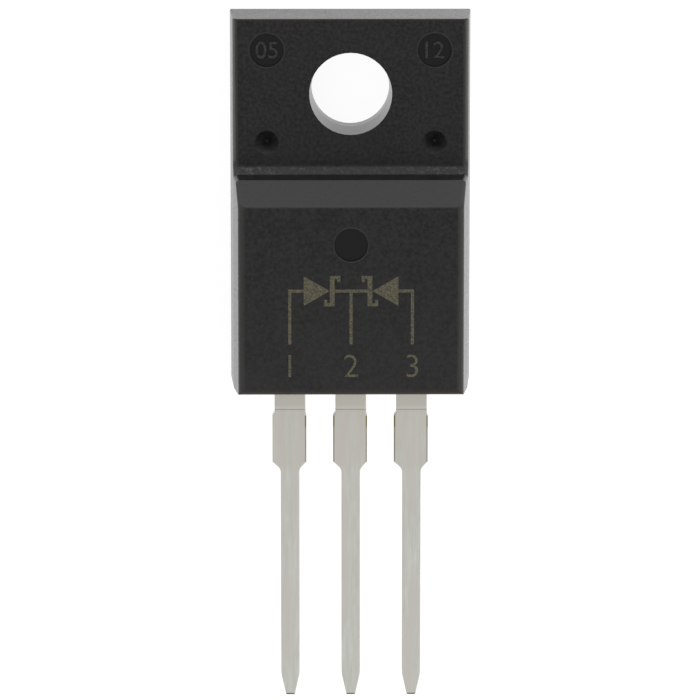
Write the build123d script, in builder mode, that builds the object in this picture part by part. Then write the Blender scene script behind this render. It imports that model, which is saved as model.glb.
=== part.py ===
from build123d import *
import os

# A dual Schottky rectifier in a fully moulded three-lead package, in millimetres.
# It lies on its heatsink face. The origin is the mounting hole's centre on that back face,
# +X runs across the leads, +Y towards the tab's free end, +Z out of the marked face.

os.makedirs("parts", exist_ok=True)

# Moulded body, outside
tab_end = 3.20  # hole centre to the tab's free end, at the back face
body_length = 15.64  # tab's free end to the foot, at the back face
back_width = 10.05
body_thickness = 4.70
parting_height = 2.70  # the mould halves meet here, on the leads' back surface
side_lean_rear = 0.145  # how far a wall leans in between the back face and the parting line
side_lean_front = 0.23  # and between the parting line and the front face
tab_end_lean = 0.07
foot_lean_rear = 0.05
foot_lean_front = 0.065
front_radius = 0.30  # along the front face's sides and foot
tab_side_radius = 0.25
tab_end_radius = 0.07
step_radius = 0.17  # along the step's ends

# Step from the thin tab to the thick part: low bevel, steep wall, main bevel
tab_thickness = 2.54
step_start = -3.04
low_bevel_run = 0.29
low_bevel_rise = 0.30
wall_lean = 0.09
bevel_run = 1.01
bevel_rise = 1.00

# Mounting hole: a straight land and a tapered mouth towards the front
hole_radius = 1.63
hole_land = 0.90
mouth_radius = 1.72

# Mould marks
mark_offset = 3.48
ejector_mark_radius = 0.70
ejector_mark_depth = 0.11
ejector_mark_y = 1.83
pin_mark_radius = 0.50
pin_mark_depth = 0.50
pin_mark_tip_radius = 0.06
pin_mark_y = -2.04
index_mark_radius = 0.69
index_mark_depth = 0.10
index_mark_y = -5.97

# Leads
lead_pitch = 2.54
lead_thickness = 0.50
lead_reach = 13.12  # foot of the body to the tips
neck_width = 1.29
neck_length = 0.98
shoulder_left = 0.74  # the cut tie bar leaves a little more on the left of each lead's middle
shoulder_right = 0.68
shoulder_slant = 0.13
shoulder_length = 2.10
shoulder_radius = 0.05
taper_length = 0.31
taper_radius = 0.35
pin_width = 0.79
tip_length = 0.92
tip_width = 0.38
tip_radius = 0.08
tip_bend_radius = 1.50  # where the pin starts to narrow
burr_radius = 0.04  # stamped edges are rolled over this much on the front

# Inside the leads' copper: die pad, step down to it, and the anode leads' posts
pad_back_cover = 0.70  # moulding between the pad and the heatsink face
pad_side_cover = 0.90
pad_thickness = 1.27
pad_top = -1.20
pad_foot_cover = 2.05
pad_hole_cover = 1.05  # moulding between the pad and the mounting hole
pad_corner_radius = 0.40
step_run = 0.95
step_bend = 0.55
pad_overlap = 0.60  # how far the middle lead runs onto the pad
root_length = 0.70  # straight part of the middle lead inside the foot
post_width = 2.00
post_length = 1.15
post_setback = 0.45
post_radius = 0.25

# Chips, solder and bond wires
die_side = 2.60
die_thickness = 0.28
die_offset = 2.10
die_setback = 2.17  # chip's edge to the pad's foot
solder_thickness = 0.06
solder_margin = 0.10
wire_radius = 0.19
wire_spacing = 0.90
wire_front_cover = 0.62  # moulding between the wires' tops and the front face
wire_bend = 0.45
bond_length = 0.70
bond_width = 0.54
bond_height = 0.24
bond_inset = 0.30  # bond's end to the edge of the chip or post
squash = 0.03  # how far a bond presses the wire flat

# Places that follow from these
foot = tab_end - body_length
foot_at_parting = foot + foot_lean_rear
parting_width = back_width - 2 * side_lean_rear
front_width = parting_width - 2 * side_lean_front
wall_foot = step_start - low_bevel_run
wall_top = wall_foot - wall_lean
bevel_top = wall_top - bevel_run
lead_front = parting_height + lead_thickness
lead_middle = parting_height + lead_thickness / 2
shoulder_top = foot_at_parting - neck_length
shoulder_end = shoulder_top - shoulder_length
taper_end = shoulder_end - taper_length
tip_end = foot_at_parting - lead_reach
tip_start = tip_end + tip_length
pad_front = pad_back_cover + pad_thickness
pad_foot = foot + pad_foot_cover
pad_width = back_width - 2 * pad_side_cover
post_foot = foot_at_parting + post_setback
post_top = post_foot + post_length
die_y = pad_foot + die_setback + die_side / 2
die_back = pad_front + solder_thickness
die_front = die_back + die_thickness


# The outside end of a lead, drawn flat: neck, shoulder left by the cut tie bar, taper, pin, tip.
# It starts inside the body at y = start. Each row holds the left and right half widths and y.
def draw_lead(x, start):
    rows = [
        (neck_width / 2, neck_width / 2, start),
        (neck_width / 2, neck_width / 2, shoulder_top),
        (shoulder_left, shoulder_right, shoulder_top - shoulder_slant),
        (shoulder_left, shoulder_right, shoulder_end),
        (pin_width / 2, pin_width / 2, taper_end),
        (pin_width / 2, pin_width / 2, tip_start),
        (tip_width / 2, tip_width / 2, tip_end),
    ]
    with BuildSketch(Plane.XY.offset(parting_height)) as flat:
        with BuildLine():
            left_side = [(x - left, y) for left, right, y in rows]
            right_side = [(x + right, y) for left, right, y in reversed(rows)]
            Polyline(*left_side, *right_side, close=True)
        make_face()
        fillet(flat.vertices().group_by(Axis.Y)[0], tip_radius)
        fillet(flat.vertices().filter_by_position(Axis.Y, tip_start, tip_start), tip_bend_radius)
        fillet(flat.vertices().filter_by_position(Axis.Y, taper_end, taper_end), taper_radius)
        fillet(flat.vertices().filter_by_position(Axis.Y, shoulder_end, shoulder_end), shoulder_radius)
    return flat.sketch


# Stamping rolls the copper over along the edges of its front surface that reach out of the body.
def roll_over_edges(lead):
    front = lead.faces().filter_by(Axis.Z).sort_by(Axis.Z)[-1]
    outside = [edge for edge in front.edges() if edge.bounding_box().min.Y < foot_at_parting]
    fillet(outside, burr_radius)


# Anode lead: a stamped strip with a wide post inside the moulding, where the wires are bonded.
def make_anode_lead(x):
    with BuildPart() as lead:
        with BuildSketch(Plane.XY.offset(parting_height)) as post:
            with Locations((x, (post_top + post_foot) / 2)):
                Rectangle(post_width, post_length)
            fillet(post.vertices(), post_radius)
        extrude(amount=lead_thickness)
        extrude(draw_lead(x, post_foot + post_length / 2), amount=lead_thickness)
        roll_over_edges(lead)
    return lead


# Cathode lead: the middle lead steps down to the thick die pad, which clears the mounting hole.
with BuildPart() as cathode_lead:
    with BuildSketch(Plane.XY.offset(pad_back_cover)) as pad:
        with Locations((0, (pad_top + pad_foot) / 2)):
            Rectangle(pad_width, pad_top - pad_foot)
        fillet(pad.vertices(), pad_corner_radius)
        Circle(mouth_radius + pad_hole_cover, mode=Mode.SUBTRACT)
    extrude(amount=pad_thickness)
    bend_top = foot_at_parting + root_length
    with BuildSketch(Plane.YZ):
        with BuildLine():
            FilletPolyline(
                (foot_at_parting, lead_middle),
                (bend_top, lead_middle),
                (bend_top + step_run, pad_front - lead_thickness / 2),
                (bend_top + step_run + pad_overlap, pad_front - lead_thickness / 2),
                radius=step_bend,
            )
        trace(line_width=lead_thickness)
    extrude(amount=neck_width / 2, both=True)
    extrude(draw_lead(0, foot_at_parting), amount=lead_thickness)
    roll_over_edges(cathode_lead)


# Solder spreads a little past its chip at the pad.
def make_solder(x):
    with BuildPart() as layer:
        with BuildSketch(Plane.XY.offset(pad_front)):
            with Locations((x, die_y)):
                Rectangle(die_side + 2 * solder_margin, die_side + 2 * solder_margin)
        with BuildSketch(Plane.XY.offset(die_back)):
            with Locations((x, die_y)):
                Rectangle(die_side, die_side)
        loft(ruled=True)
    return layer


# Schottky chip, a sawn square of silicon with a metal top.
def make_die(x):
    with BuildPart() as die:
        with BuildSketch(Plane.XY.offset(die_back)):
            with Locations((x, die_y)):
                Rectangle(die_side, die_side)
        extrude(amount=die_thickness)
    return die


# Aluminium bond wire, looped from the chip's top to the anode post and wedged flat at both ends.
# It climbs over the first quarter of the way between its bonds and comes down over the last.
def make_bond_wire(die_x, post_x, die, lead):
    start = Vector(die_x, die_y - die_side / 2 + bond_inset + bond_length, die_front)
    end = Vector(post_x, post_top - bond_inset - bond_length, die_front)
    along = end - start
    span = along.length
    side_view = Plane(origin=start, x_dir=along, z_dir=along.cross(Vector(0, 0, 1)))
    axis_height = wire_radius - squash
    end_height = lead_front - die_front + axis_height
    loop_height = body_thickness - wire_front_cover - wire_radius - die_front
    rise = (span - 2 * bond_length) / 4
    with BuildPart() as wire:
        with BuildLine(side_view) as loop:
            FilletPolyline(
                (0, axis_height),
                (bond_length, axis_height),
                (bond_length + rise, loop_height),
                (span - bond_length - rise, loop_height),
                (span - bond_length, end_height),
                (span, end_height),
                radius=wire_bend,
            )
        with BuildSketch(Plane(origin=loop.line @ 0, z_dir=loop.line % 0)):
            Circle(wire_radius)
        sweep()
        for middle, height in ((bond_length / 2, 0), (span - bond_length / 2, end_height - axis_height)):
            bond = side_view.location * Location((middle, height + bond_height / 2, 0))
            with Locations(bond):
                Box(bond_length, bond_height, bond_width)
        add(die.part, mode=Mode.SUBTRACT)
        add(lead.part, mode=Mode.SUBTRACT)
    return wire


pieces = {"cathode_lead": cathode_lead}
for side, direction in (("left", -1), ("right", 1)):
    anode_lead = make_anode_lead(direction * lead_pitch)
    die = make_die(direction * die_offset)
    pieces[f"anode_lead_{side}"] = anode_lead
    pieces[f"solder_{side}"] = make_solder(direction * die_offset)
    pieces[f"die_{side}"] = die
    for place, shift in (("inner", -wire_spacing / 2), ("outer", wire_spacing / 2)):
        die_x = direction * (die_offset + shift)
        post_x = direction * (lead_pitch + shift)
        pieces[f"bond_wire_{side}_{place}"] = make_bond_wire(die_x, post_x, die, anode_lead)

# Body: black epoxy, moulded in two drafted halves around everything above.
sections = [
    (0, back_width, foot, tab_end),
    (parting_height, parting_width, foot_at_parting, tab_end - tab_end_lean),
    (body_thickness, front_width, foot_at_parting + foot_lean_front, tab_end - tab_end_lean),
]
with BuildPart() as body:
    for lower, upper in zip(sections, sections[1:]):
        for height, width, low_end, high_end in (lower, upper):
            with BuildSketch(Plane.XY.offset(height)):
                with Locations((0, (low_end + high_end) / 2)):
                    Rectangle(width, high_end - low_end)
        loft(ruled=True)

    # The space in front of the tab is cleared down to the step
    past_front = body_thickness + bevel_rise
    past_end = tab_end + bevel_run
    with BuildSketch(Plane.YZ):
        with BuildLine():
            Polyline(
                (past_end, tab_thickness),
                (step_start, tab_thickness),
                (wall_foot, tab_thickness + low_bevel_rise),
                (wall_top, body_thickness - bevel_rise),
                (bevel_top - bevel_run, past_front),
                (past_end, past_front),
                close=True,
            )
        make_face()
    extrude(amount=back_width, both=True, mode=Mode.SUBTRACT)

    # Rounded edges: the front face's sides and foot, the tab's sides, the step's ends, the tab's end.
    # The level faces so far are, from the back up, the back face, the tab's front and the front face.
    front = body.faces().filter_by(Axis.Z).sort_by(Axis.Z)[-1]
    fillet(front.edges().sort_by(Axis.Y)[:-1], front_radius)
    tab_front = body.faces().filter_by(Axis.Z).sort_by(Axis.Z)[1]
    fillet(tab_front.edges().sort_by(Axis.Y)[1:-1], tab_side_radius)
    step_ends = []
    for face in body.faces():
        direction = face.normal_at()
        if direction.Z > 0.05 and direction.Y > 0.2 and abs(direction.X) < 0.01:
            step_ends += [edge for edge in face.edges() if abs(edge.center().X) > front_width / 4]
    fillet(step_ends, step_radius)
    tab_front = body.faces().filter_by(Axis.Z).sort_by(Axis.Z)[1]
    fillet(tab_front.edges().sort_by(Axis.Y)[-1], tab_end_radius)

    # Mounting hole
    with BuildSketch(Plane.YZ):
        with BuildLine():
            Polyline(
                (0, 0),
                (hole_radius, 0),
                (hole_radius, hole_land),
                (mouth_radius, tab_thickness),
                (0, tab_thickness),
                close=True,
            )
        make_face()
    revolve(axis=Axis.Z, mode=Mode.SUBTRACT)

    # Round marks left by the mould's ejectors and by the pins that held the pad
    with BuildSketch(Plane.XY.offset(tab_thickness)):
        with Locations((-mark_offset, ejector_mark_y), (mark_offset, ejector_mark_y)):
            Circle(ejector_mark_radius)
    extrude(amount=-ejector_mark_depth, mode=Mode.SUBTRACT)
    for x in (-mark_offset, mark_offset):
        pin_place = Plane(origin=(x, pin_mark_y, tab_thickness), x_dir=(1, 0, 0), z_dir=(0, -1, 0))
        with BuildSketch(pin_place):
            with BuildLine():
                Polyline(
                    (0, 0),
                    (pin_mark_radius, 0),
                    (pin_mark_tip_radius, -pin_mark_depth),
                    (0, -pin_mark_depth),
                    close=True,
                )
            make_face()
        revolve(axis=Axis((x, pin_mark_y, 0), (0, 0, 1)), mode=Mode.SUBTRACT)
    with BuildSketch(Plane.XY.offset(body_thickness)):
        with Locations((0, index_mark_y)):
            Circle(index_mark_radius)
    extrude(amount=-index_mark_depth, mode=Mode.SUBTRACT)

    # Hollows that the copper, chips and wires fill
    for piece in pieces.values():
        add(piece.part, mode=Mode.SUBTRACT)

pieces["body"] = body
for name, piece in pieces.items():
    piece.part.label = name
    export_step(piece.part, f"parts/{name}.step")
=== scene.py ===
import math

import bpy
from mathutils import Matrix, Vector


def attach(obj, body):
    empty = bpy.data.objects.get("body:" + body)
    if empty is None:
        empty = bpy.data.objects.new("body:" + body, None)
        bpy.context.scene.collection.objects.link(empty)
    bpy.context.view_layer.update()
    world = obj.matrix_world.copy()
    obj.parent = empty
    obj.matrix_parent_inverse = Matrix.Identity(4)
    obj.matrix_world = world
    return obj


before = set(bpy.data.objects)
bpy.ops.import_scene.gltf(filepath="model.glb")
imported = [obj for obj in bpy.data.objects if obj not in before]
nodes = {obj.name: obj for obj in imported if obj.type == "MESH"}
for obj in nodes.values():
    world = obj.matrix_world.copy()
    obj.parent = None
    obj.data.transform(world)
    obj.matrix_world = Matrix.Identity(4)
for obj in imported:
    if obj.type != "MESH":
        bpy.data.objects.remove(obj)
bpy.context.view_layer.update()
bpy.ops.object.select_all(action="DESELECT")


# Body: one piece of black filled epoxy, transfer moulded round the leads in a tool
# with a spark-eroded finish, so it is matte with a fine even grain. The ejector pins
# leave smoother discs, two on the tab and one on the front.

def linear(code):
    """An sRGB hex colour as linear red, green, blue and alpha."""
    parts = [int(code[i:i + 2], 16) / 255 for i in (1, 3, 5)]
    light = [p / 12.92 if p <= 0.04045 else ((p + 0.055) / 1.055) ** 2.4 for p in parts]
    return (*light, 1.0)


def add_node(tree, kind, settings=None, links=None):
    """Adds a node to a tree, gives it its settings and links its inputs."""
    node = tree.nodes.new(kind)
    for key, value in (settings or {}).items():
        if isinstance(key, int) or key in node.inputs:
            node.inputs[key].default_value = value
        else:
            setattr(node, key, value)
    for key, socket in (links or {}).items():
        tree.links.new(socket, node.inputs[key])
    return node


def fade(tree, *limits):
    """A mask where several limits hold at once: the product of their ramps.

    Each limit is a value with its start and end, between which the ramp goes from 0
    to 1, or between two more numbers where the limit gives them.
    """
    mask = None
    for value, start, end, *span in limits:
        low, high = span or (0.0, 1.0)
        slope = add_node(
            tree, "ShaderNodeMapRange",
            {"From Min": start, "From Max": end, "To Min": low, "To Max": high},
            {"Value": value},
        ).outputs[0]
        mask = slope if mask is None else add_node(
            tree, "ShaderNodeMath", {"operation": "MULTIPLY"}, {0: mask, 1: slope}
        ).outputs[0]
    return mask


def band(value, middle, half_width, softness):
    """The two limits of a band, which is 1 near its middle and soft at its edges."""
    return (
        (value, middle - half_width - softness, middle - half_width),
        (value, middle + half_width + softness, middle + half_width),
    )


def new_material(name):
    """An empty material and its tree."""
    material = bpy.data.materials.new(name)
    material.use_nodes = True
    material.node_tree.nodes.clear()
    return material, material.node_tree


def finish_with(tree, shader):
    """Puts a shader on the material's surface."""
    add_node(tree, "ShaderNodeOutputMaterial", links={"Surface": shader.outputs[0]})


def dress(piece, material):
    """Gives a piece its one material."""
    piece.data.materials.clear()
    piece.data.materials.append(material)


mm = 0.001
epoxy_black = linear("#020202")
epoxy_grey = linear("#262626")
epoxy_cloud_and_painted_light = linear("#2d2d2c")
slope_painted_light_grey = linear("#353535")
fleck_grey = linear("#4c4c4b")
edge_highlight_grey = linear("#3b3a37")
tab_edge_highlight_grey = linear("#5c5b54")
edge_reflection_brown = linear("#2e1b09")
pin_disc_black = linear("#020202")
epoxy_ior = 1.38
eroded_grain = 0.14 * mm
flow_cloud = 1.6 * mm
grain_relief = 0.002 * mm
ridge_over_grain = 8.0
flash_width = 0.07 * mm
soft_edge = 0.005 * mm
pin_discs = [(3.48 * mm, 1.83 * mm, 0.70 * mm), (0.0, -5.97 * mm, 0.69 * mm)]
hole_wall = 1.73 * mm
step_line = -2.9 * mm
low_slope_top = 2.9 * mm
main_slope_low = 2.8 * mm
main_slope_high = 3.8 * mm
front_edge = 4.1 * mm
tab_edge = 4.5 * mm
tab_end = 3.07 * mm
tab_rim = 2.44 * mm
front_rim = 4.3 * mm
front_foot = -12.4 * mm

# Black epoxy moulding compound: dark and matte, with the tool's eroded grain. The
# real grain is about 0.03 mm and is drawn coarser so that it shows. Towards the
# leads the front face is painted a little paler, as painted light at its foot.
epoxy, tree = new_material("moulded_black_epoxy")
coordinates = add_node(tree, "ShaderNodeTexCoord").outputs
place = coordinates["Object"]
axes = add_node(tree, "ShaderNodeSeparateXYZ", links={0: place}).outputs
facing = add_node(tree, "ShaderNodeSeparateXYZ", links={0: coordinates["Normal"]}).outputs
from_middle = add_node(
    tree, "ShaderNodeMath", {"operation": "ABSOLUTE"}, {0: axes["X"]}
).outputs[0]
facing_side = add_node(
    tree, "ShaderNodeMath", {"operation": "ABSOLUTE"}, {0: facing["X"]}
).outputs[0]
grain = add_node(
    tree, "ShaderNodeTexNoise",
    {"Scale": 1 / eroded_grain, "Detail": 3.0, "Roughness": 0.6},
    {"Vector": place},
).outputs["Fac"]
cloud = add_node(
    tree, "ShaderNodeTexNoise",
    {"Scale": 1 / flow_cloud, "Detail": 4.0, "Roughness": 0.55},
    {"Vector": place},
).outputs["Fac"]
tone = add_node(
    tree, "ShaderNodeMix", {"data_type": "RGBA", 6: epoxy_black, 7: epoxy_grey},
    {0: fade(tree, (grain, 0.32, 0.68))},
).outputs[2]
# Tone in soft random clouds, plus painted light: the front face paler towards its foot
cloud_and_painted_light = add_node(
    tree, "ShaderNodeMath", {"operation": "ADD"},
    {
        0: fade(tree, (cloud, 0.35, 0.65, 0.0, 0.15)),
        1: fade(tree, (axes["Y"], -5.0 * mm, front_foot, 0.0, 0.35)),
    },
).outputs[0]

# The step's two slopes are painted a little paler than the flat faces, as painted
# light falling on them from beyond the tab's end, and the low one at its foot is
# flecked, most near its two ends. The normal of a slope of 45 degrees has 0.71 of Y
# and of Z.
on_step = (
    (facing["Y"], 0.55, 0.65),
    (facing["Z"], 0.55, 0.65),
    (axes["Y"], step_line, step_line - 0.1 * mm),
)
painted_lit_slopes = fade(
    tree, *on_step, (axes["Z"], main_slope_low, main_slope_high, 0.3, 0.8),
    (grain, 0.3, 0.7, 0.75, 1.2),
)
flecks = fade(
    tree, *on_step, (axes["Z"], low_slope_top + 0.1 * mm, low_slope_top),
    (from_middle, 2.5 * mm, 4.0 * mm, 0.35, 1.0), (grain, 0.52, 0.64),
)

# The rounded edges along the sides are painted grey, and the tab's edges palest
# where they turn down to its sides: painted highlights of the light they catch there
facing_up = (facing["Z"], 0.2, 0.4)
edge_highlight = fade(
    tree, facing_up, (facing_side, 0.03, 0.36, 0.0, 0.7),
    (from_middle, front_edge, front_edge + 0.1 * mm),
)
tab_edge_highlight = fade(
    tree, facing_up, (facing_side, 0.35, 0.75),
    (from_middle, tab_edge, tab_edge + 0.1 * mm), (axes["Y"], step_line, step_line + 0.2 * mm),
)

# Along the foot of the front face and the tab's end the edge is painted brownish, a
# painted reflection of warm light on these rounded edges
foot_line = fade(
    tree, (facing["Y"], -0.3, -0.8), (axes["Z"], front_rim, front_rim + 0.1 * mm)
)
end_line = fade(
    tree, (axes["Y"], tab_end, tab_end + 0.02 * mm), (axes["Z"], tab_rim, tab_rim + 0.04 * mm)
)
edge_reflection_line = add_node(
    tree, "ShaderNodeMath", {"operation": "MAXIMUM"}, {0: foot_line, 1: end_line}
).outputs[0]

# The pins' discs are smoother, with a thin ridge where epoxy crept round each pin.
# The ridge is painted a little paler as well, a painted highlight.
# Both discs of the tab are the same distance from the middle, so one mask serves both.
mirrored = add_node(
    tree, "ShaderNodeCombineXYZ", links={"X": from_middle, "Y": axes["Y"]}
).outputs[0]
above_back = (axes["Z"], 2.1 * mm, 2.2 * mm)
disc_masks = []
ridge_masks = []
for x, y, radius in pin_discs:
    away = add_node(
        tree, "ShaderNodeVectorMath", {"operation": "DISTANCE", 1: (x, y, 0)}, {0: mirrored}
    ).outputs["Value"]
    disc_masks.append(fade(tree, (away, radius + soft_edge, radius - soft_edge), above_back))
    ridge_masks.append(
        fade(tree, *band(away, radius + flash_width / 2, 0.0, flash_width / 2), above_back)
    )
disc, ridge = (
    add_node(tree, "ShaderNodeMath", {"operation": "ADD"}, {0: first, 1: second}).outputs[0]
    for first, second in (disc_masks, ridge_masks)
)
# Here go on painted light at the front's foot and on the slopes, painted highlights on the
# edges and ridges, and the painted reflection of the brown edge line
for colour, mask in (
    (epoxy_cloud_and_painted_light, cloud_and_painted_light),
    (slope_painted_light_grey, painted_lit_slopes),
    (fleck_grey, flecks),
    (edge_highlight_grey, edge_highlight),
    (tab_edge_highlight_grey, tab_edge_highlight),
    (edge_reflection_brown, edge_reflection_line),
    (pin_disc_black, disc),
    (edge_highlight_grey, fade(tree, (ridge, 0.0, 1.0, 0.0, 0.4))),
):
    tone = add_node(
        tree, "ShaderNodeMix", {"data_type": "RGBA", 7: colour}, {0: mask, 6: tone}
    ).outputs[2]

# The lower the angle it is seen at, the more sheen even eroded epoxy has
matte = add_node(
    tree, "ShaderNodeMix", {"data_type": "FLOAT", 3: 0.34},
    {0: disc, 2: fade(tree, (grain, 0.2, 0.8, 0.42, 0.62))},
).outputs[0]
edge_on = add_node(tree, "ShaderNodeLayerWeight", {"Blend": 0.5}).outputs["Facing"]
gloss = add_node(
    tree, "ShaderNodeMix", {"data_type": "FLOAT"},
    {
        0: fade(tree, (edge_on, 0.50, 0.86)),
        2: matte,
        3: fade(tree, (grain, 0.3, 0.7, 0.21, 0.31)),
    },
).outputs[0]

# The core pin that shapes the hole is polished, and so is the hole's wall
from_axis = add_node(
    tree, "ShaderNodeVectorMath", {"operation": "LENGTH"}, {0: mirrored}
).outputs["Value"]
polished = fade(tree, (from_axis, hole_wall + soft_edge, hole_wall))
gloss = add_node(
    tree, "ShaderNodeMix", {"data_type": "FLOAT", 3: 0.22}, {0: polished, 2: gloss}
).outputs[0]
eroded = add_node(
    tree, "ShaderNodeMix", {"data_type": "FLOAT", 3: 0.5}, {0: polished, 2: grain}
).outputs[0]
height = add_node(
    tree, "ShaderNodeMath", {"operation": "MULTIPLY_ADD", 1: ridge_over_grain},
    {0: ridge, 2: eroded},
).outputs[0]
relief = add_node(
    tree, "ShaderNodeBump", {"Strength": 1.0, "Distance": grain_relief}, {"Height": height}
).outputs[0]
skin = add_node(
    tree, "ShaderNodeBsdfPrincipled", {"IOR": epoxy_ior},
    {"Base Color": tone, "Roughness": gloss, "Normal": relief},
)
finish_with(tree, skin)
dress(nodes["body"], epoxy)


# Laser mark: the inside circuit, two diodes with a common cathode, and the numbers of
# the three leads, burnt into the front face by a laser. The beam scorches the epoxy
# to a speckled tan grey a few micrometres thick.

front_face = 4.70 * mm
mark_low = front_face - 0.004 * mm
mark_high = front_face + 0.006 * mm
scorch_dark = linear("#3e3c31")
scorch_tan = linear("#65614b")
laser_shot = 0.075 * mm
thin_line = 0.13 * mm
symbol_y = -7.90 * mm
triangle_radius = 0.72 * mm
bar_place = 0.98 * mm
bar_width = 0.20 * mm
bar_half = 0.64 * mm
hook = 0.24 * mm
hook_drop = 0.14 * mm
lead_pitch = 2.54 * mm
rail_foot = -10.15 * mm
number_height = 1.02 * mm
number_foot = -11.57 * mm


def add_plate(left, foot, right, head):
    """Adds a flat rectangle to the mark, by its sides."""
    middle = ((left + right) / 2, (foot + head) / 2, mark_low)
    bpy.ops.mesh.select_all(action="DESELECT")
    bpy.ops.mesh.primitive_plane_add(size=1, location=middle)
    bpy.ops.transform.resize(value=(right - left, head - foot, 1), center_override=middle)


bpy.ops.mesh.primitive_plane_add(size=1, location=(0, 0, 0))
mark = bpy.context.object
mark.name = "laser_mark"
bpy.ops.object.mode_set(mode="EDIT")
bpy.ops.mesh.delete(type="VERT")
symbol_foot = symbol_y - bar_half
symbol_head = symbol_y + bar_half
line_low = symbol_y - thin_line / 2
line_high = symbol_y + thin_line / 2
for side in (-1, 1):
    tip = bar_place - bar_width / 2
    bpy.ops.mesh.select_all(action="DESELECT")
    bpy.ops.mesh.primitive_circle_add(
        vertices=3, radius=triangle_radius, fill_type="NGON",
        location=(side * (tip + triangle_radius), symbol_y, mark_low),
        rotation=(0, 0, side * math.pi / 2),
    )
    triangle_base = side * (tip + 1.5 * triangle_radius)
    bar_inside = side * (tip - bar_width)
    bar_outside = side * tip
    hook_inside = bar_inside - side * hook
    hook_outside = bar_outside + side * hook
    rail_inside = side * (lead_pitch - thin_line / 2)
    rail_outside = side * (lead_pitch + thin_line / 2)
    spans = [
        (bar_inside, bar_outside, symbol_foot, symbol_head),
        (bar_inside, hook_inside, symbol_head - thin_line, symbol_head),
        (
            hook_inside, hook_inside + side * thin_line,
            symbol_head - thin_line - hook_drop, symbol_head - thin_line,
        ),
        (bar_outside, hook_outside, symbol_foot, symbol_foot + thin_line),
        (
            hook_outside, hook_outside - side * thin_line,
            symbol_foot + thin_line, symbol_foot + thin_line + hook_drop,
        ),
        (triangle_base, rail_outside, line_low, line_high),
        (rail_inside, rail_outside, rail_foot, line_low),
        (side * thin_line / 2, bar_inside, line_low, line_high),
    ]
    for start, end, foot, head in spans:
        add_plate(min(start, end), foot, max(start, end), head)
add_plate(-thin_line / 2, rail_foot, thin_line / 2, line_high)
bpy.ops.mesh.select_all(action="SELECT")
bpy.ops.mesh.extrude_region_move(
    TRANSFORM_OT_translate={"value": (0, 0, mark_high - mark_low)}
)
bpy.ops.mesh.select_all(action="SELECT")
bpy.ops.mesh.normals_make_consistent(inside=False)
bpy.ops.object.mode_set(mode="OBJECT")


def raised_text(words, height, x, y, low, high, weight=-0.012, bevel=0):
    """Plain characters as a thin solid, centred on x and y.

    Their height is that of a capital, and the weight, a share of it, thickens them.
    """
    capital_share = 0.729
    bpy.ops.object.select_all(action="DESELECT")
    bpy.ops.object.text_add(location=(0, 0, 0))
    text = bpy.context.object
    text.data.body = words
    text.data.align_x = "CENTER"
    text.data.align_y = "CENTER"
    text.data.size = height / capital_share
    text.data.offset = weight * height - bevel
    text.data.extrude = (high - low) / 2 - bevel
    text.data.bevel_depth = bevel
    text.data.bevel_resolution = 1
    text.data.resolution_u = 6
    bpy.ops.object.convert(target="MESH")
    text = bpy.context.object
    bpy.ops.object.mode_set(mode="EDIT")
    bpy.ops.mesh.select_all(action="SELECT")
    bpy.ops.mesh.remove_doubles(threshold=0.0005 * mm)
    bpy.ops.mesh.normals_make_consistent(inside=False)
    bpy.ops.object.mode_set(mode="OBJECT")
    corners = [Vector(corner) for corner in text.bound_box]
    middle = (corners[0] + corners[6]) / 2
    text.data.transform(Matrix.Translation(Vector((x, y, (low + high) / 2)) - middle))
    return text


numbers = [
    raised_text(
        str(count + 1), number_height, (count - 1) * lead_pitch,
        number_foot + number_height / 2, mark_low, mark_high,
    )
    for count in range(3)
]
bpy.ops.object.select_all(action="DESELECT")
for piece in [*numbers, mark]:
    piece.select_set(True)
bpy.context.view_layer.objects.active = mark
bpy.ops.object.join()

# Scorched epoxy: the beam's overlapping shots leave dull specks, light and dark
scorched, tree = new_material("laser_scorched_epoxy")
place = add_node(tree, "ShaderNodeTexCoord").outputs["Object"]
specks = add_node(
    tree, "ShaderNodeTexNoise",
    {"Scale": 1 / laser_shot, "Detail": 2.0, "Roughness": 0.7},
    {"Vector": place},
).outputs["Fac"]
tone = add_node(
    tree, "ShaderNodeMix", {"data_type": "RGBA", 6: scorch_dark, 7: scorch_tan},
    {0: fade(tree, (specks, 0.36, 0.64))},
).outputs[2]
relief = add_node(
    tree, "ShaderNodeBump", {"Strength": 1.0, "Distance": 0.004 * mm}, {"Height": specks}
).outputs[0]
skin = add_node(
    tree, "ShaderNodeBsdfPrincipled", {"Roughness": 0.75, "IOR": 1.5},
    {"Base Color": tone, "Normal": relief},
)
finish_with(tree, skin)
dress(mark, scorched)
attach(mark, "root")


# Cavity numbers: plain raised numbers on the two ejector discs of the tab. They are
# cut into the ends of the ejector pins, so they stand up from the disc in the same
# epoxy.

cavity_height = 0.74 * mm
cavity_weight = 0.015
cavity_bevel = 0.03 * mm
disc_floor = 2.43 * mm
number_root = disc_floor - 0.04 * mm
number_top = disc_floor + 0.07 * mm
disc_x, disc_y = pin_discs[0][:2]
number_highlight_black = linear("#202020")
number_highlight_grey = linear("#363636")
number_speck = 0.1 * mm

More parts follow.
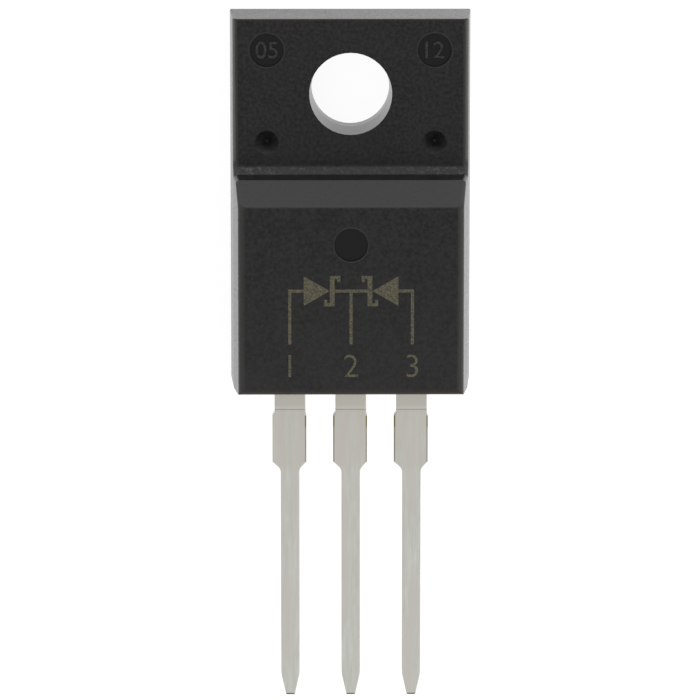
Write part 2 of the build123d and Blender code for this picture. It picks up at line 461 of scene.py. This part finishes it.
# The same epoxy, painted grey in specks where it stands up: a painted highlight of
# the light its raised edges catch
number_epoxy, tree = new_material("black_epoxy_painted_highlight")
place = add_node(tree, "ShaderNodeTexCoord").outputs["Object"]
specks = add_node(
    tree, "ShaderNodeTexNoise", {"Scale": 1 / number_speck, "Detail": 2.0}, {"Vector": place}
).outputs["Fac"]
tone = add_node(
    tree, "ShaderNodeMix", {"data_type": "RGBA", 6: number_highlight_black, 7: number_highlight_grey},
    {0: fade(tree, (specks, 0.4, 0.6))},
).outputs[2]
skin = add_node(
    tree, "ShaderNodeBsdfPrincipled", {"IOR": epoxy_ior, "Roughness": 0.5},
    {"Base Color": tone},
)
finish_with(tree, skin)
for name, words, x in (
    ("cavity_number_left", "05", -disc_x),
    ("cavity_number_right", "12", disc_x),
):
    number = raised_text(
        words, cavity_height, x, disc_y, number_root, number_top,
        weight=cavity_weight, bevel=cavity_bevel,
    )
    number.name = name
    dress(number, number_epoxy)
    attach(number, "root")


# Leads: three, stamped from 0.5 mm copper strip and electroplated with matte tin.
# The strip's rolling lines run along them, the mould closed on them at a fine cross
# line below the body, and the cut flanks there show bare copper.

tin_light = linear("#e5e7df")
tin_dull = linear("#d7d8cf")
tin_warm = linear("#dcd7ce")
tin_rosy = linear("#e0d9d3")
tin_near_body = linear("#d7d4ca")
line_highlight_white = linear("#dedcd4")
shut_grey = linear("#bcb7ac")
cut_grey = linear("#a39e90")
tarnished_copper = linear("#7d7548")
sheared_end = linear("#57524b")
rolling_line = 0.03 * mm
rolling_length = 2.5 * mm
rolling_relief = 0.001 * mm
streak_width = 0.15 * mm
streak_length = 1.2 * mm
tint_width = 0.5 * mm
tint_length = 5.0 * mm
shut_line = -13.225 * mm
shut_ridge = -13.12 * mm
shoulder_middle = -14.48 * mm
shoulder_half = 0.97 * mm
shoulder_foot = -15.9 * mm
right_cut = 0.615 * mm
left_cut = -0.675 * mm
cut_softness = 0.02 * mm
tarnish_line = shoulder_middle + 0.45 * mm
tip_end = -25.51 * mm

# Matte tin plate on rolled copper: pale and satin, in fine lines along the strip and
# wider soft streaks, both stretched that way
tin, tree = new_material("tin_plated_copper_strip")
place = add_node(tree, "ShaderNodeTexCoord").outputs["Object"]
axes = add_node(tree, "ShaderNodeSeparateXYZ", links={0: place}).outputs
along = axes["Y"]
rolling, streak, tint = (
    add_node(
        tree, "ShaderNodeTexNoise", {"Scale": 1.0, "Detail": detail, "Roughness": roughness},
        {
            "Vector": add_node(
                tree, "ShaderNodeMapping", {"Scale": (1 / width, 1 / length, 1 / width)},
                {"Vector": place},
            ).outputs[0],
        },
    ).outputs["Fac"]
    for width, length, detail, roughness in (
        (rolling_line, rolling_length, 3.0, 0.6),
        (streak_width, streak_length, 3.0, 0.6),
        (tint_width, tint_length, 2.0, 0.5),
    )
)
tone = add_node(
    tree, "ShaderNodeMix", {"data_type": "RGBA", 6: tin_light, 7: tin_dull},
    {0: fade(tree, (streak, 0.32, 0.68))},
).outputs[2]

# The tie bar was cut off the shoulders after plating, so their flanks are duller, and
# bare copper nearest the body. The left lead has no such cut on its outer side.
lead_x = add_node(
    tree, "ShaderNodeMath", {"operation": "WRAP", 1: lead_pitch / 2, 2: -lead_pitch / 2},
    {0: axes["X"]},
).outputs[0]
right_flank = fade(tree, (lead_x, right_cut, right_cut + cut_softness))
left_flank = fade(
    tree, (lead_x, left_cut, left_cut - cut_softness),
    (axes["X"], -lead_pitch / 2, -lead_pitch / 2 + 0.01 * mm),
)
either_flank = add_node(
    tree, "ShaderNodeMath", {"operation": "MAXIMUM"}, {0: left_flank, 1: right_flank}
).outputs[0]
flank = fade(
    tree, (either_flank, 0.0, 1.0), *band(along, shoulder_middle, shoulder_half, 0.04 * mm)
)
tarnish = fade(tree, (flank, 0.0, 1.0), (along, tarnish_line, tarnish_line + 0.1 * mm))

# In long stripes the plating is faintly rosy, and the shoulders are warmer than the
# pins. Near the body the tin is a little darker, up to a pale painted highlight
# across the lead and a fine grey cross line below it.
for colour, mask in (
    (tin_rosy, fade(tree, (tint, 0.45, 0.60, 0.0, 0.7))),
    (tin_warm, fade(tree, (along, shoulder_foot, shoulder_foot + 0.4 * mm, 0.0, 0.5))),
    (tin_near_body, fade(tree, (along, shut_ridge - 0.02 * mm, shut_ridge + 0.05 * mm))),
    (line_highlight_white, fade(tree, *band(along, shut_ridge, 0.02 * mm, 0.03 * mm))),
    (shut_grey, fade(tree, *band(along, shut_line, 0.012 * mm, 0.02 * mm))),
    (cut_grey, flank),
    (tarnished_copper, tarnish),
    (sheared_end, fade(tree, (along, tip_end + 0.075 * mm, tip_end + 0.045 * mm))),
):
    tone = add_node(
        tree, "ShaderNodeMix", {"data_type": "RGBA", 7: colour}, {0: mask, 6: tone}
    ).outputs[2]
relief = add_node(
    tree, "ShaderNodeBump", {"Strength": 0.6, "Distance": rolling_relief}, {"Height": rolling}
).outputs[0]
skin = add_node(
    tree, "ShaderNodeBsdfPrincipled", {"Metallic": 1.0},
    {
        "Base Color": tone,
        "Roughness": fade(tree, (streak, 0.0, 1.0, 0.33, 0.45)),
        "Normal": relief,
    },
)
finish_with(tree, skin)
for name in ("cathode_lead", "anode_lead_left", "anode_lead_right"):
    dress(nodes[name], tin)


# Chips: two sawn silicon Schottky chips inside the moulding, 0.28 mm thick, each with
# a metal layer on top for its bond wires.

silicon_dark = linear("#6f737a")
silicon_light = linear("#868a90")
saw_mark = 0.02 * mm

# Sawn silicon: a half metallic grey, with fine marks of the saw
silicon, tree = new_material("sawn_silicon")
place = add_node(tree, "ShaderNodeTexCoord").outputs["Object"]
saw_marks = add_node(
    tree, "ShaderNodeTexNoise", {"Scale": 1 / saw_mark, "Detail": 2.0}, {"Vector": place}
).outputs["Fac"]
tone = add_node(
    tree, "ShaderNodeMix", {"data_type": "RGBA", 6: silicon_dark, 7: silicon_light},
    {0: saw_marks},
).outputs[2]
skin = add_node(
    tree, "ShaderNodeBsdfPrincipled", {"Metallic": 0.6, "Roughness": 0.35},
    {"Base Color": tone},
)
finish_with(tree, skin)
for name in ("die_left", "die_right"):
    dress(nodes[name], silicon)


# Solder: a thin layer of soft solder under each chip, melted between it and the pad,
# dull and slightly grainy.

solder_dark = linear("#a9a9ab")
solder_light = linear("#b9b9bb")
solder_crystal = 0.08 * mm

# Soft solder: a dull metal that set in small crystals
soft_solder, tree = new_material("soft_solder")
place = add_node(tree, "ShaderNodeTexCoord").outputs["Object"]
crystals = add_node(
    tree, "ShaderNodeTexVoronoi", {"Scale": 1 / solder_crystal}, {"Vector": place}
).outputs["Distance"]
tone = add_node(
    tree, "ShaderNodeMix", {"data_type": "RGBA", 6: solder_dark, 7: solder_light},
    {0: crystals},
).outputs[2]
skin = add_node(
    tree, "ShaderNodeBsdfPrincipled", {"Metallic": 1.0, "Roughness": 0.5},
    {"Base Color": tone},
)
finish_with(tree, skin)
for name in ("solder_left", "solder_right"):
    dress(nodes[name], soft_solder)


# Bond wires: drawn aluminium wire, 0.38 mm thick, pressed flat and welded by
# ultrasound to the chip at one end and to the lead's post at the other.

wire_white = linear("#e8e8ea")
drawing_line = 0.04 * mm

# Drawn aluminium: bright, with the fine uneven sheen that the die leaves
aluminium, tree = new_material("drawn_aluminium_wire")
place = add_node(tree, "ShaderNodeTexCoord").outputs["Object"]
drawing = add_node(
    tree, "ShaderNodeTexNoise", {"Scale": 1 / drawing_line, "Detail": 2.0}, {"Vector": place}
).outputs["Fac"]
skin = add_node(
    tree, "ShaderNodeBsdfPrincipled", {"Metallic": 1.0, "Base Color": wire_white},
    {"Roughness": fade(tree, (drawing, 0.0, 1.0, 0.2, 0.34))},
)
finish_with(tree, skin)
for side in ("left", "right"):
    for row in ("inner", "outer"):
        dress(nodes[f"bond_wire_{side}_{row}"], aluminium)


# Floor: a plain white sheet that the part lies on, back down. It shows white to the
# camera and in reflections, brightest on the right. Its matte share takes the part's
# shadow, which is nearly lost in the white.

sheet_size = 1.6
sheet_gap = 0.01 * mm
sheet_white = linear("#e6e6e6")
shadow_share = linear("#929292")
glow_reach = 8 * mm
glow_left = 0.83
glow_right = 1.0
plain_white = (1.0, 1.0, 1.0, 1.0)

bpy.ops.object.select_all(action="DESELECT")
bpy.ops.mesh.primitive_plane_add(size=sheet_size, location=(0, 0, -sheet_gap))
floor = bpy.context.object
floor.name = "floor"
bpy.ops.object.transform_apply(location=True)

# White paper: matte. What the camera and reflections see of it glows as well.
paper, tree = new_material("white_paper")
place = add_node(tree, "ShaderNodeTexCoord").outputs["Object"]
axes = add_node(tree, "ShaderNodeSeparateXYZ", links={0: place}).outputs
ray = add_node(tree, "ShaderNodeLightPath").outputs
seen = add_node(
    tree, "ShaderNodeMath", {"operation": "MAXIMUM"},
    {0: ray["Is Camera Ray"], 1: ray["Is Glossy Ray"]},
)
seen_or_through = add_node(
    tree, "ShaderNodeMath", {"operation": "MAXIMUM"},
    {0: seen.outputs[0], 1: ray["Is Transmission Ray"]},
)
sheet = add_node(tree, "ShaderNodeBsdfDiffuse", {"Color": sheet_white})
shade = add_node(tree, "ShaderNodeBsdfDiffuse", {"Color": shadow_share})
glow = add_node(
    tree, "ShaderNodeEmission", {"Color": plain_white},
    {"Strength": fade(tree, (axes["X"], -glow_reach, glow_reach, glow_left, glow_right))},
)
lit = add_node(
    tree, "ShaderNodeAddShader", links={0: shade.outputs[0], 1: glow.outputs[0]}
)
shown = add_node(
    tree, "ShaderNodeMixShader",
    links={0: seen_or_through.outputs[0], 1: sheet.outputs[0], 2: lit.outputs[0]},
)
finish_with(tree, shown)
dress(floor, paper)


# Light: a white tent, a little over half as bright overhead as low down. It is
# brightest behind the tab's end, and a little brighter on the right.

overhead = 0.60
toward_horizon = 0.42
behind_tab = 1.3
lean = (0.20, -0.15, 0.0)

world = bpy.data.worlds.new("light_tent")
bpy.context.scene.world = world
world.use_nodes = True
tree = world.node_tree
tree.nodes.clear()
heading = add_node(tree, "ShaderNodeTexCoord").outputs["Generated"]
axes = add_node(tree, "ShaderNodeSeparateXYZ", links={0: heading}).outputs
leaning = add_node(
    tree, "ShaderNodeVectorMath", {"operation": "DOT_PRODUCT", 1: lean}, {0: heading}
).outputs["Value"]
behind_and_leaning = add_node(
    tree, "ShaderNodeMath", {"operation": "ADD"},
    {0: fade(tree, (axes["Y"], 0.5, 1.0, 0.0, behind_tab)), 1: leaning},
).outputs[0]
level = add_node(
    tree, "ShaderNodeMath", {"operation": "ADD"},
    {
        0: fade(tree, (axes["Z"], 1.0, 0.0, overhead, overhead + toward_horizon)),
        1: behind_and_leaning,
    },
).outputs[0]
tent = add_node(tree, "ShaderNodeBackground", {"Color": plain_white}, {"Strength": level})
backdrop = add_node(
    tree, "ShaderNodeBackground", {"Color": plain_white, "Strength": 1.0}
)
ray = add_node(tree, "ShaderNodeLightPath").outputs
tent_or_backdrop = add_node(
    tree, "ShaderNodeMixShader",
    links={0: ray["Is Camera Ray"], 1: tent.outputs[0], 2: backdrop.outputs[0]},
)
add_node(tree, "ShaderNodeOutputWorld", links={"Surface": tent_or_backdrop.outputs[0]})


# Camera: it looks down on the marked face from 249 mm, 11.5 degrees from square
# towards the tab's end.

distance = 249.0 * mm
toward_tab = math.radians(11.46)
toward_left = math.radians(0.422)
aim = Vector((-0.027, -10.863, 2.35)) * mm
sensor_width_mm = 36
focal_length_mm = 306.1

sight = Vector((
    -math.sin(toward_left) * math.cos(toward_tab),
    math.sin(toward_tab),
    math.cos(toward_left) * math.cos(toward_tab),
))
rightward = Vector((0, 1, 0)).cross(sight).normalized()
upward = sight.cross(rightward)
turn = Matrix((rightward, upward, sight)).transposed().to_4x4()
lens = bpy.data.cameras.new("camera")
lens.sensor_width = sensor_width_mm
lens.lens = focal_length_mm
lens.clip_start = 0.01
lens.clip_end = 10
camera = bpy.data.objects.new("camera", lens)
bpy.context.scene.collection.objects.link(camera)
camera.matrix_world = Matrix.Translation(aim + sight * distance) @ turn
bpy.context.scene.camera = camera
bpy.context.scene.view_settings.view_transform = "Standard"
